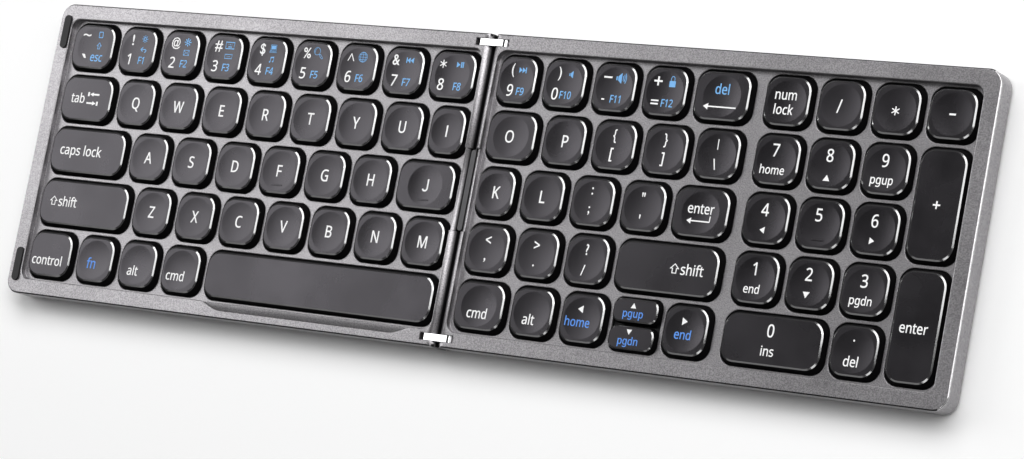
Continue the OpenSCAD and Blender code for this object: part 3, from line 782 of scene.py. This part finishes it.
def print_signs(name, signs):
    """All signs on one CAD node's caps, as one thin piece that rides with them."""
    bm = bmesh.new()
    for index, rows in signs:
        for row in rows:
            print_sign(bm, KEYS[name][index], name not in FLAT_KEYS, *row)
    bmesh.ops.remove_doubles(bm, verts=bm.verts, dist=SIGN_WELD * MM)
    bmesh.ops.recalc_face_normals(bm, faces=bm.faces)
    blue = LEGEND_SKY if name in TOP_ROW else LEGEND_BLUE
    piece = link_piece(name + "_legends", bm, [LEGEND_WHITE, blue])
    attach(piece, name)


def letter(text, dx=0.0, dy=0.0):
    return [(text, dx, dy, LETTER_HEIGHT, W)]


def two_signs(upper, lower, upper_at, lower_at, upper_high, lower_high):
    return [(upper, *upper_at, upper_high, W), (lower, *lower_at, lower_high, W)]


# For each node, the place of a cap in it and the signs on that cap:
# text, across, up, height, ink, width, upside down.
SIGNS = {
    "key_escape": [(0, [
        ("~", -3.6, 4.2, 0.95, W, 1.15), ("`", -3.4, -3.5, 1.5, W, 1.2),
        ("\u25a2", 2.6, 4.6, 2.3, B), ("\u21e7", 2.5, 0.6, 2.5, B), ("esc", 2.3, -3.5, 3.3, B),
    ])],
    "keys_number_left": [
        (0, [("!", -2.7, 3.7, 3.9, W, 1.1), ("1", -3.2, -3.3, 3.9, W),
             ("\U0001f505", 2.45, 4.3, 2.6, B, 1.0),
             ("\u21a9", 2.45, 0.4, 2.0, B, 1.1, True), ("F1", 2.3, -3.5, 2.6, B)]),
        (1, [("@", -2.5, 3.7, 4.3, W), ("2", -2.8, -3.3, 3.9, W),
             ("\U0001f506", 2.6, 4.3, 3.0, B, 1.0),
             ("\U0001f582", 2.6, 0.5, 2.0, B, 0.9), ("F2", 2.3, -3.5, 2.6, B)]),
        (2, [("#", -2.7, 3.8, 4.0, W, 0.95), ("3", -2.9, -3.3, 3.9, W),
             ("\u25ad", 2.1, 4.3, 2.6, B, 0.45), ("\u2026", 2.1, 4.6, 0.45, B, 0.55),
             ("\u2014", 2.1, 3.8, 0.35, B, 0.3), ("\u25ad", 2.1, 0.4, 1.7, B, 0.58),
             ("\u2026", 2.1, 0.4, 0.4, B, 0.5), ("F3", 1.9, -3.6, 2.6, B)]),
        (3, [("$", -2.6, 3.8, 4.4, W), ("4", -3.0, -3.3, 3.9, W),
             ("\U0001f4bb", 1.9, 4.3, 2.9, B, 0.85),
             ("\U0001f3b5", 1.75, 0.5, 2.2, B, 1.0), ("F4", 1.9, -3.6, 2.6, B)]),
        (4, [("%", -2.6, 3.8, 3.8, W, 0.9), ("5", -3.0, -3.3, 3.9, W),
             ("\U0001f50d", 2.1, 4.0, 4.0, B, 1.0), ("F5", 1.8, -3.6, 2.6, B)]),
        (5, [("\u2227", -3.1, 3.5, 2.6, W, 1.0), ("6", -3.1, -3.3, 3.9, W),
             ("\U0001f310", 1.7, 3.8, 3.6, B, 1.0), ("F6", 1.6, -3.6, 2.6, B)]),
        (6, [("&", -3.5, 3.8, 3.7, W), ("7", -3.1, -3.3, 3.9, W),
             ("|", 0.7, 3.9, 1.9, B, 2.0), ("\u25c0", 1.5, 3.9, 1.9, B, 0.8),
             ("\u25c0", 2.9, 3.9, 1.9, B, 0.8), ("F7", 1.9, -3.7, 2.6, B)]),
        (7, [("\uff0a", -4.3, 3.6, 2.8, W, 1.0), ("8", -4.0, -3.4, 3.9, W),
             ("\u25b6", 1.7, 3.7, 1.9, B, 0.85), ("|", 2.9, 3.7, 1.9, B, 2.4),
             ("|", 3.6, 3.7, 1.9, B, 2.4), ("F8", 2.6, -3.8, 2.6, B)]),
    ],
    "key_tab": [(0, [("tab", -3.9, 0.2, 3.6, W), ("\u2b70", 2.9, 1.75, 1.5, W, 1.3),
                     ("\u2b72", 2.9, -1.5, 1.5, W, 1.3)])],
    "keys_upper_left": [(i, letter(sign)) for i, sign in enumerate("QWERTYUI")],
    "key_caps_lock": [(0, [("caps lock", -2.9, 0.2, 3.7, W, 0.9)])],
    "keys_home_left": [(i, letter(sign)) for i, sign in enumerate("ASDFGHJ")],
    "key_left_shift": [(0, [("\u21e7", -13.6, 0.4, 3.3, W, 1.0), ("shift", -7.2, 0.4, 3.6, W)])],
    "keys_lower_left": [(i, letter(sign)) for i, sign in enumerate("ZXCVBNM")],
    "key_control": [(0, [("control", -0.9, -2.1, 3.5, W, 0.9)])],
    "key_function": [(0, [("fn", -1.4, -1.3, 3.8, B)])],
    "key_left_alt": [(0, [("alt", -1.6, -2.1, 3.5, W)])],
    "key_left_command": [(0, [("cmd", -1.8, -2.1, 3.5, W)])],
    "keys_number_right": [
        (0, [("(", -2.0, 3.3, 4.6, W), ("9", -2.0, -3.5, 3.9, W),
             ("\u25b6", 0.9, 3.5, 1.9, B, 0.75), ("\u25b6", 2.2, 3.5, 1.9, B, 0.75),
             ("|", 3.0, 3.5, 1.9, B, 2.0), ("F9", 2.0, -3.7, 2.5, B)]),
        (1, [(")", -2.3, 3.3, 4.6, W), ("0", -3.0, -3.5, 3.9, W),
             ("\U0001f568", 2.0, 3.3, 2.3, B, -1.0), ("F10", 1.1, -3.7, 2.5, B, 0.8)]),
        (2, [("-", -2.9, 3.4, 0.6, W, 2.2), ("-", -3.5, -4.0, 0.5, W, 0.9),
             ("\U0001f56a", 2.1, 3.3, 3.4, B, -0.95), ("F11", 1.1, -3.7, 2.5, B, 0.8)]),
        (3, [("+", -3.1, 3.4, 3.0, W, 1.0), ("=", -3.2, -3.6, 1.6, W, 1.1),
             ("\u25a0", 2.2, 2.7, 2.0, B, 1.15), ("\u2229", 2.2, 4.3, 2.0, B, 0.85),
             ("F12", 1.4, -3.7, 2.5, B, 0.8)]),
    ],
    "key_delete": [(0, [("del", -0.3, 2.4, 3.4, B), ("\u25c0", -5.3, -3.6, 2.2, W, 0.9),
                        ("\u2014", 0.3, -3.6, 0.45, W, 1.5)])],
    "keys_upper_right": [
        (0, letter("O", -0.7)), (1, letter("P", 0.4)),
        (2, two_signs("{", "[", (-0.3, 3.2), (-0.5, -3.0), 4.6, 4.6)),
        (3, two_signs("}", "]", (-0.3, 3.2), (-0.5, -3.0), 4.6, 4.6)),
        (4, two_signs("|", "\\", (-0.2, 3.4), (-0.4, -3.1), 3.4, 3.6)),
    ],
    "keys_home_right": [
        (0, letter("K", 0.4)), (1, letter("L")),
        (2, two_signs(":", ";", (-0.6, 3.6), (-0.75, -2.9), 2.5, 2.9)),
        (3, two_signs('"', "'", (-0.5, 4.0), (-0.6, -3.2), 1.4, 1.4)),
    ],
    "key_enter": [(0, [("enter", 0.0, 1.4, 3.4, W), ("\u25c0", -3.8, -2.8, 2.0, W, 0.9),
                       ("\u2014", 0.1, -2.8, 0.42, W, 1.05), ("|", 3.7, -1.9, 2.0, W, 1.6)])],
    "keys_lower_right": [
        (0, two_signs("<", ",", (0.0, 3.1), (-0.2, -3.7), 2.6, 1.4)),
        (1, two_signs(">", ".", (-0.5, 3.1), (-0.6, -3.7), 2.6, 0.7)),
        (2, two_signs("?", "/", (-0.4, 3.4), (-0.7, -3.4), 3.7, 3.6)),
    ],
    "key_right_shift": [(0, [("\u21e7", 3.0, 0.4, 3.3, W, 1.0), ("shift", 9.4, 0.4, 3.6, W)])],
    "key_right_command": [(0, [("cmd", -0.4, -2.3, 3.5, W)])],
    "key_right_alt": [(0, [("alt", -0.9, -2.3, 3.5, W)])],
    "key_arrow_left": [(0, [("\u25c0", -1.1, 3.0, 2.5, W, 0.9), ("home", -1.5, -1.2, 3.1, B)])],
    "key_arrow_right": [(0, [("\u25b6", -0.6, 3.0, 2.5, W, 0.9), ("end", -0.7, -1.2, 3.1, B)])],
    "key_arrow_up": [(0, [("\u25b2", -0.8, 1.6, 1.7, W, 1.0),
                          ("pgup", -0.6, -0.9, 2.6, B, 0.92)])],
    "key_arrow_down": [(0, [("\u25bc", -0.8, 1.9, 1.7, W, 1.0),
                            ("pgdn", -0.8, -0.9, 2.6, B, 0.92)])],
    "keys_pad_top": [
        (0, [("num", -0.7, 2.2, 3.3, W), ("lock", -0.8, -2.6, 3.3, W)]),
        (1, [("/", -0.6, -0.2, 4.4, W)]),
        (2, [("\uff0a", -0.3, -0.3, 2.9, W, 1.0)]),
        (3, [("-", 0.0, 0.0, 0.6, W, 1.6)]),
    ],
    "keys_pad_digits": [
        (0, [("7", -0.8, 3.2, 4.0, W), ("home", -1.0, -3.1, 2.9, W)]),
        (1, [("8", -0.7, 3.0, 4.0, W), ("\u25b2", -0.7, -4.2, 2.0, W, 1.0)]),
        (2, [("9", -0.6, 2.9, 4.0, W), ("pgup", -0.8, -3.2, 2.9, W)]),
        (3, [("4", -0.8, 3.0, 4.0, W), ("\u25c0", -0.8, -3.5, 2.2, W, 0.9)]),
        (4, [("5", -0.9, 3.0, 4.0, W)]),
        (5, [("6", -0.6, 2.8, 4.0, W), ("\u25b6", -0.6, -3.5, 2.2, W, 0.9)]),
        (6, [("1", -0.8, 3.1, 4.0, W), ("end", -0.8, -3.3, 2.9, W)]),
        (7, [("2", -0.7, 3.1, 4.0, W), ("\u25bc", -0.7, -3.4, 2.0, W, 1.0)]),
        (8, [("3", -0.6, 2.9, 4.0, W), ("pgdn", -0.8, -3.2, 2.9, W)]),
    ],
    "key_pad_plus": [(0, [("+", 0.0, 0.0, 2.5, W, 1.0)])],
    "key_pad_enter": [(0, [("enter", -0.5, -0.3, 3.4, W)])],
    "key_pad_zero": [(0, [("0", -0.8, 3.2, 4.0, W), ("ins", -0.9, -3.2, 3.2, W)])],
    "key_pad_point": [(0, [(".", -0.6, 3.3, 0.7, W), ("del", -0.6, -3.2, 3.3, W)])],
}
for sign_node, sign_rows in SIGNS.items():
    print_signs(sign_node, sign_rows)

# ---------------------------------------------------------------- floor, light and camera

FLOOR_REACH = 6
FLOOR_WHITE = (0.96, 0.96, 0.96)
FLOOR_ROUGHNESS = 0.9
AMBIENT = 0.05
BACKDROP = 1.0
WHITE = (1, 1, 1, 1)


def make_floor():
    bm = bmesh.new()
    bmesh.ops.create_grid(bm, x_segments=1, y_segments=1, size=FLOOR_REACH)
    material = new_material("white_floor", FLOOR_WHITE, FLOOR_ROUGHNESS, Specular_IOR_Level=0.0)[0]
    floor = link_piece("floor", bm, [material])


def area_light(name, place, target, size, power):
    """A rectangular lamp at a place, turned to its target."""
    data = bpy.data.lights.new(name, "AREA")
    data.shape = "RECTANGLE"
    data.size, data.size_y = size
    data.energy = power
    lamp = bpy.data.objects.new(name, data)
    bpy.context.scene.collection.objects.link(lamp)
    lamp.location = place
    lamp.rotation_mode = "QUATERNION"
    lamp.rotation_quaternion = (Vector(target) - Vector(place)).to_track_quat("-Z", "Y")


# For each lamp: place, target, size and power.
LAMPS = {
    "rear_softbox": ((0.25, 0.85, 1.10), (0, 0, 0), (1.5, 0.85), 17),
    "left_softbox": ((-1.06, 0.37, 0.95), (-0.05, 0.37, 0), (0.82, 0.83), 5.8),
    "right_softbox": ((0.75, 0.28, 1.10), (0, 0, 0), (0.45, 0.85), 3.9),
    "front_softbox": ((0.45, -0.85, 1.15), (0, 0, 0), (0.6, 0.3), 1.3),
    "low_front_softbox": ((-0.35, -0.95, 0.62), (0, 0, 0), (1.3, 0.35), 0.6),
    "right_strip": ((1.05, 0.15, 0.56), (0, 0, 0), (0.5, 0.26), 0.9),
    "left_strip": ((-1.1, 0.17, 0.28), (0, 0, 0), (0.5, 0.22), 2.0),
}


def make_world():
    """Dim even light for the object, plain white where the camera sees past the floor."""
    world = bpy.data.worlds.new("studio")
    bpy.context.scene.world = world
    world.use_nodes = True
    tree = world.node_tree
    ambient = tree.nodes["Background"]
    ambient.inputs["Color"].default_value = WHITE
    ambient.inputs["Strength"].default_value = AMBIENT
    white = tree.nodes.new("ShaderNodeBackground")
    white.inputs["Color"].default_value = WHITE
    white.inputs["Strength"].default_value = BACKDROP
    path = tree.nodes.new("ShaderNodeLightPath")
    choose = tree.nodes.new("ShaderNodeMixShader")
    tree.links.new(path.outputs["Is Camera Ray"], choose.inputs[0])
    tree.links.new(ambient.outputs[0], choose.inputs[1])
    tree.links.new(white.outputs[0], choose.inputs[2])
    tree.links.new(choose.outputs[0], tree.nodes["World Output"].inputs["Surface"])


CAMERA_PLACE = Vector((615.9, -155.6, 946.1)) * MM
CAMERA_RIGHT = Vector((0.84235, 0.18439, -0.50640))
CAMERA_DOWN = Vector((0.08929, -0.97441, -0.20628))
CAMERA_AHEAD = Vector((-0.53148, 0.12855, -0.83726))
SENSOR_WIDTH = 36
FOCAL_SHARE = 3420 / 1024  # focal length as a share of the picture's width
CLIP_NEAR, CLIP_FAR = 0.05, 30


def make_camera():
    data = bpy.data.cameras.new("camera")
    data.sensor_width = SENSOR_WIDTH
    data.lens = FOCAL_SHARE * SENSOR_WIDTH
    data.clip_start, data.clip_end = CLIP_NEAR, CLIP_FAR
    camera = bpy.data.objects.new("camera", data)
    bpy.context.scene.collection.objects.link(camera)
    turn = Matrix((CAMERA_RIGHT, -CAMERA_DOWN, -CAMERA_AHEAD)).transposed()
    camera.rotation_mode = "QUATERNION"
    camera.rotation_quaternion = turn.to_quaternion()
    camera.location = CAMERA_PLACE
    bpy.context.scene.camera = camera


make_floor()
for lamp_name, lamp_values in LAMPS.items():
    area_light(lamp_name, *lamp_values)
make_world()
make_camera()
bpy.context.scene.view_settings.view_transform = "Standard"
